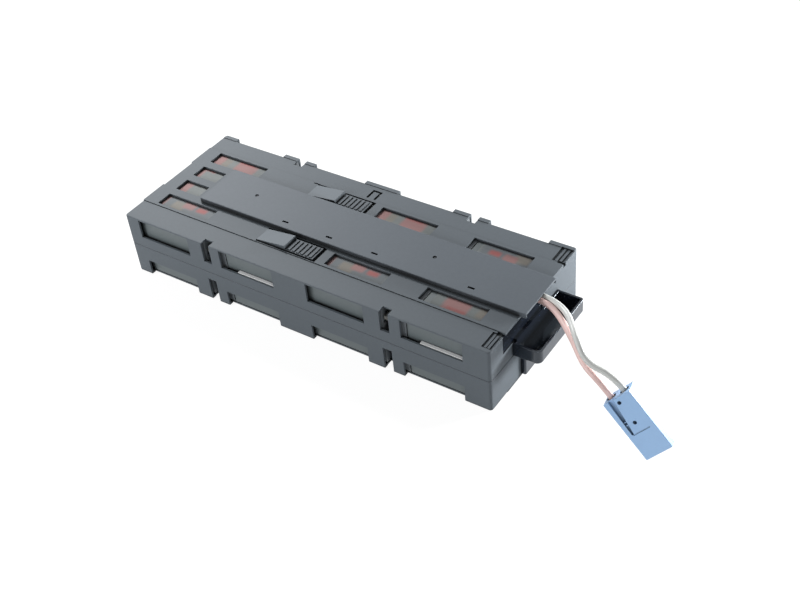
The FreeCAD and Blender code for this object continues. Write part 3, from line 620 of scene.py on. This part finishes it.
# %% The label's inks and fields
PALE = (0.205, 0.225, 0.225)
RED = (0.38, 0.130, 0.125)
ROSE = (0.35, 0.195, 0.190)
SAND = (0.240, 0.225, 0.200)
DULL = (0.165, 0.185, 0.200)
LABEL_FIELDS = [
    (0.0, 0.0350, -0.0400, 0.0160, DULL),
    (-0.0150, 0.0080, 0.0380, 0.0090, SAND),
    (-0.0220, 0.0070, 0.0390, 0.0120, ROSE),
    (0.0120, 0.0140, 0.0400, 0.0110, ROSE),
    (0.0100, 0.0110, 0.0455, 0.0030, RED),
    (-0.0250, 0.0040, 0.0130, 0.0120, ROSE),
    (-0.0170, 0.0070, 0.0195, 0.0030, RED),
    (-0.0225, 0.0065, -0.0130, 0.0120, ROSE),
    (-0.0260, 0.0035, -0.0400, 0.0120, ROSE),
    (-0.0080, 0.0090, -0.0420, 0.0080, SAND),
    (0.0030, 0.0085, -0.0380, 0.0062, ROSE),
    (0.0190, 0.0075, -0.0385, 0.0050, RED),
]
print("fields on a label:", len(LABEL_FIELDS))

# %% [markdown]
# ## Where a point lies on its label
#
# Object coordinates run from the tray's origin, so a Mapping node moves them to
# the label's middle and, where a label is stuck on the other way up, turns them
# by half a turn.  A little noise shakes them, which softens the print's edges.
# The noise averages one half, so all fields are shifted by half the shake.

# %% Coordinates on the film
SHAKE_SCALE = 170.0
SHAKE = 0.0022


def film_coordinates(tree, turned, middle):
    """Shaken coordinates from the label's middle, as a node with X and Y."""
    place = add_node(tree, "ShaderNodeTexCoord")
    half_turn = (0.0, 0.0, math.pi if turned else 0.0)
    centre = add_node(tree, "ShaderNodeMapping", {"vector_type": "TEXTURE"},
                      Location=middle, Rotation=half_turn)
    link(tree, place.outputs["Object"], centre.inputs["Vector"])
    wobble = add_node(tree, "ShaderNodeTexNoise", Scale=SHAKE_SCALE, Detail=2.0)
    link(tree, centre.outputs["Vector"], wobble.inputs["Vector"])
    shake = add_node(tree, "ShaderNodeVectorMath", {"operation": "MULTIPLY_ADD"})
    shake.inputs[1].default_value = (SHAKE, SHAKE, 0.0)
    link(tree, wobble.outputs["Color"], shake.inputs[0])
    link(tree, centre.outputs["Vector"], shake.inputs[2])
    split = add_node(tree, "ShaderNodeSeparateXYZ")
    link(tree, shake.outputs["Vector"], split.inputs["Vector"])
    return split


print("helper: film_coordinates")

# %% [markdown]
# ## The finish of a label
#
# The film is pale and a little cloudy.  The fields are laid over it one by one,
# and the crevice mask darkens it along the window's frame, which stands above it
# and keeps the light off.

# %% A printed label
FILM_CLOUD = 0.15
FILM_CLOUD_SCALE = 55.0
FILM_ROUGHNESS = 0.60
FILM_SPECULAR = 0.20
FRAME_REACH = 0.006
FRAME_OPEN = 0.85
FRAME_SHADE = (0.012, 0.010, 0.012)


def printed_label(name, turned, middle):
    """Pale film with fields of red, laid out from the label's middle."""
    material, tree, shader = new_material(name)
    film = film_coordinates(tree, turned, middle)
    texture = place_group(tree, moulded_grain, Cloud_Scale=FILM_CLOUD_SCALE)
    colour = mix_colours(tree, texture.outputs["Cloud"],
                         opaque(PALE, 1 - FILM_CLOUD), opaque(PALE, 1 + FILM_CLOUD))
    for along, along_half, across, across_half, ink in LABEL_FIELDS:
        field = place_group(tree, print_field, Along_Middle=along + SHAKE / 2,
                            Along_Half=along_half, Across_Middle=across + SHAKE / 2,
                            Across_Half=across_half)
        link(tree, film.outputs["X"], field.inputs["Along"])
        link(tree, film.outputs["Y"], field.inputs["Across"])
        colour = mix_colours(tree, field.outputs["Mask"], colour, opaque(ink))
    frame_line = place_group(tree, crevice, Reach=FRAME_REACH, Open=FRAME_OPEN)
    shaded = mix_colours(tree, frame_line.outputs["Mask"], colour,
                         opaque(FRAME_SHADE))
    link(tree, shaded, shader.inputs["Base Color"])
    shader.inputs["Roughness"].default_value = FILM_ROUGHNESS
    shader.inputs["Specular IOR Level"].default_value = FILM_SPECULAR
    return material


print("helper: printed_label")

# %% [markdown]
# ## Paint the labels
#
# Each label has a material of its own, because its middle differs.  The one on
# the fourth battery is stuck on the other way up, so its print is turned.

# %% One finish for each label
TURNED_LABEL = 4
for number in BATTERIES:
    label = nodes["battery_%d_label" % number]
    corners = [label.matrix_world @ Vector(c) for c in label.bound_box]
    middle = sum(corners, Vector()) / len(corners)
    paint(label.name, printed_label("battery_label_%d" % number,
                                    number == TURNED_LABEL, middle))
print("labels painted:", len(BATTERIES))

# %% [markdown]
# ## Insulation, foam and metal
#
# The small pieces need no recipe of their own: one simple finish whose colour
# drifts a little is enough for the leads' insulation, the white foam strips, the
# tinned tabs, the nylon receptacles and the contacts.

# %% A simple finish
def plain_finish(name, colour, roughness, metallic=0.0, scale=60.0, spread=0.12):
    """A simple finish whose colour changes a little over the surface."""
    material, tree, shader = new_material(name)
    texture = place_group(tree, moulded_grain, Cloud_Scale=scale)
    base = mix_colours(tree, texture.outputs["Cloud"],
                       opaque(colour, 1 - spread), opaque(colour, 1 + spread))
    link(tree, base, shader.inputs["Base Color"])
    shader.inputs["Roughness"].default_value = roughness
    shader.inputs["Metallic"].default_value = metallic
    return material


red_material = plain_finish("red_insulation", (0.84, 0.60, 0.57), 0.35)
grey_material = plain_finish("grey_insulation", (0.66, 0.68, 0.66), 0.35)
foam_material = plain_finish("foam", (0.94, 0.94, 0.95), 0.8, spread=0.05)
tab_material = plain_finish("tab", (0.72, 0.70, 0.62), 0.3, metallic=1.0)
nylon_material = plain_finish("receptacle", (0.72, 0.72, 0.68), 0.4)
contact_material = plain_finish("contact", (0.80, 0.80, 0.78), 0.25, metallic=1.0)
print("finishes: insulation, foam, tab, nylon, contact")

# %% [markdown]
# ## Paint the small pieces
#
# The red insulation is for the lead of the positive pole, outside and under the
# cover, and grey is for every other lead and link.  The tabs, receptacles and
# contacts are hidden, but they get their finish too, so that the part looks right
# when it is opened up.

# %% Paint the small pieces
positive_lead.data.materials.append(red_material)
negative_lead.data.materials.append(grey_material)
paint("positive_lead_inner", red_material)
for name in ("link_1_2", "link_3_4", "jumper_2_3", "negative_lead_inner"):
    paint(name, grey_material)
for name in ("foam_strip_2", "foam_strip_4"):
    paint(name, foam_material)
for number in BATTERIES:
    for pole in ("negative", "positive"):
        paint("battery_%d_%s_tab" % (number, pole), tab_material)
        paint("battery_%d_%s_receptacle" % (number, pole), nylon_material)
for name in ("positive_contact", "negative_contact"):
    paint(name, contact_material)
print("small pieces painted")

# %% [markdown]
# ## Seen or lighting
#
# The paper and the room have to look white without lighting the object from all
# sides.  The Light Path node tells rays that look at a surface, straight, by
# reflection or through glass, from rays that only carry light.  Its mask picks
# between a shader to be seen and one to light with.

# %% A mix between what is seen and what lights
def seen_or_lit(tree, rays, lighting, seen):
    """Shader output: seen for the named rays, lighting for all the others."""
    path = add_node(tree, "ShaderNodeLightPath")
    mask = path.outputs[rays[0]]
    for ray in rays[1:]:
        either = add_node(tree, "ShaderNodeMath", {"operation": "MAXIMUM"})
        link(tree, mask, either.inputs[0])
        link(tree, path.outputs[ray], either.inputs[1])
        mask = either.outputs["Value"]
    choose = add_node(tree, "ShaderNodeMixShader")
    link(tree, mask, choose.inputs["Fac"])
    link(tree, lighting, choose.inputs[1])
    link(tree, seen, choose.inputs[2])
    return choose.outputs["Shader"]


SEEING_RAYS = ("Is Camera Ray", "Is Glossy Ray", "Is Transmission Ray")
print("rays that see:", ", ".join(SEEING_RAYS))

# %% [markdown]
# ## The floor
#
# The object stands on a sheet of white paper.  To the eye the paper is a faint
# glow with a weak diffuse part, so that it is nearly white and still takes the
# object's shadow.  To the light it is plain pale paper.

# %% Lay the floor
FLOOR_SIZE = 14.0
FLOOR_BELOW = 0.0002
PAPER = (0.60, 0.60, 0.60)
PAPER_SHADE = (0.24, 0.24, 0.24)
PAPER_GLOW = 0.90
PAPER_ROUGHNESS = 0.9

bpy.ops.object.select_all(action="DESELECT")
bpy.ops.mesh.primitive_plane_add(size=FLOOR_SIZE, location=(0.0, 0.0, -FLOOR_BELOW))
floor = bpy.context.object
floor.name = "floor"
floor_material, tree, shader = new_material("floor_paper")
shader.inputs["Base Color"].default_value = opaque(PAPER)
shader.inputs["Roughness"].default_value = PAPER_ROUGHNESS
shade = add_node(tree, "ShaderNodeBsdfDiffuse", Color=opaque(PAPER_SHADE))
glow = add_node(tree, "ShaderNodeEmission", Strength=PAPER_GLOW)
seen_paper = add_node(tree, "ShaderNodeAddShader")
link(tree, shade.outputs["BSDF"], seen_paper.inputs[0])
link(tree, glow.outputs["Emission"], seen_paper.inputs[1])
paper = seen_or_lit(tree, SEEING_RAYS, shader.outputs["BSDF"],
                    seen_paper.outputs["Shader"])
link(tree, paper, tree.nodes["Material Output"].inputs["Surface"])
floor.data.materials.append(floor_material)
print("floor laid, seen as white paper with a faint shadow")

# %% [markdown]
# ## The room
#
# The world is white where it is seen, and otherwise a weak even light that only
# keeps the shadows from going black.

# %% Set the world
WHITE = (1.0, 1.0, 1.0)
AMBIENT_STRENGTH = 0.12

world = bpy.data.worlds.new("studio")
bpy.context.scene.world = world
world.use_nodes = True
tree = world.node_tree
tree.nodes.clear()
ambient = add_node(tree, "ShaderNodeBackground", Color=opaque(WHITE),
                   Strength=AMBIENT_STRENGTH)
white = add_node(tree, "ShaderNodeBackground", Color=opaque(WHITE), Strength=1.0)
output = add_node(tree, "ShaderNodeOutputWorld")
room = seen_or_lit(tree, SEEING_RAYS, ambient.outputs["Background"],
                   white.outputs["Background"])
link(tree, room, output.inputs["Surface"])
print("world set, ambient strength", AMBIENT_STRENGTH)

# %% [markdown]
# ## Lamps
#
# Five softboxes.  The key stands high behind the back end and rakes along the
# top, so ribs and rims draw their shadows to the front.  A low one lights the
# handle's end wall, a large weak one fills the long side, and two small ones lift
# the side's left end and the connector.  Each is written with its place, the
# point that it looks at, its size and its power in watts.

# %% Place the lamps
def softbox(name, place, target, size, power):
    """A rectangular area lamp that looks at a point."""
    lamp = bpy.data.lights.new(name, "AREA")
    lamp.shape = "RECTANGLE"
    lamp.size, lamp.size_y = size
    lamp.energy = power
    holder = bpy.data.objects.new(name, lamp)
    holder.location = place
    way = Vector(target) - Vector(place)
    holder.rotation_euler = way.to_track_quat("-Z", "Y").to_euler()
    bpy.context.scene.collection.objects.link(holder)


SOFTBOXES = [
    ("key", (-0.80, 0.52, 0.76), (-0.05, 0.00, 0.05), (0.24, 0.24), 11.8),
    ("end_light", (0.50, 0.36, 0.13), (0.208, 0.00, 0.04), (0.16, 0.12), 4.4),
    ("fill", (-0.85, -1.30, 0.55), (-0.05, 0.00, 0.03), (0.90, 0.50), 9.0),
    ("left_front", (-0.50, -0.55, 0.30), (-0.16, -0.08, 0.03), (0.20, 0.20), 1.1),
    ("low_front", (0.76, -0.60, 0.28), (0.38, -0.05, 0.03), (0.22, 0.22), 1.4),
]
for setting in SOFTBOXES:
    softbox(*setting)
print("lamps placed:", len(SOFTBOXES))

# %% [markdown]
# ## Finish
#
# The Standard view shows each colour about as it is written.

# %% Set the view and close
bpy.context.scene.view_settings.view_transform = "Standard"
bpy.context.view_layer.update()
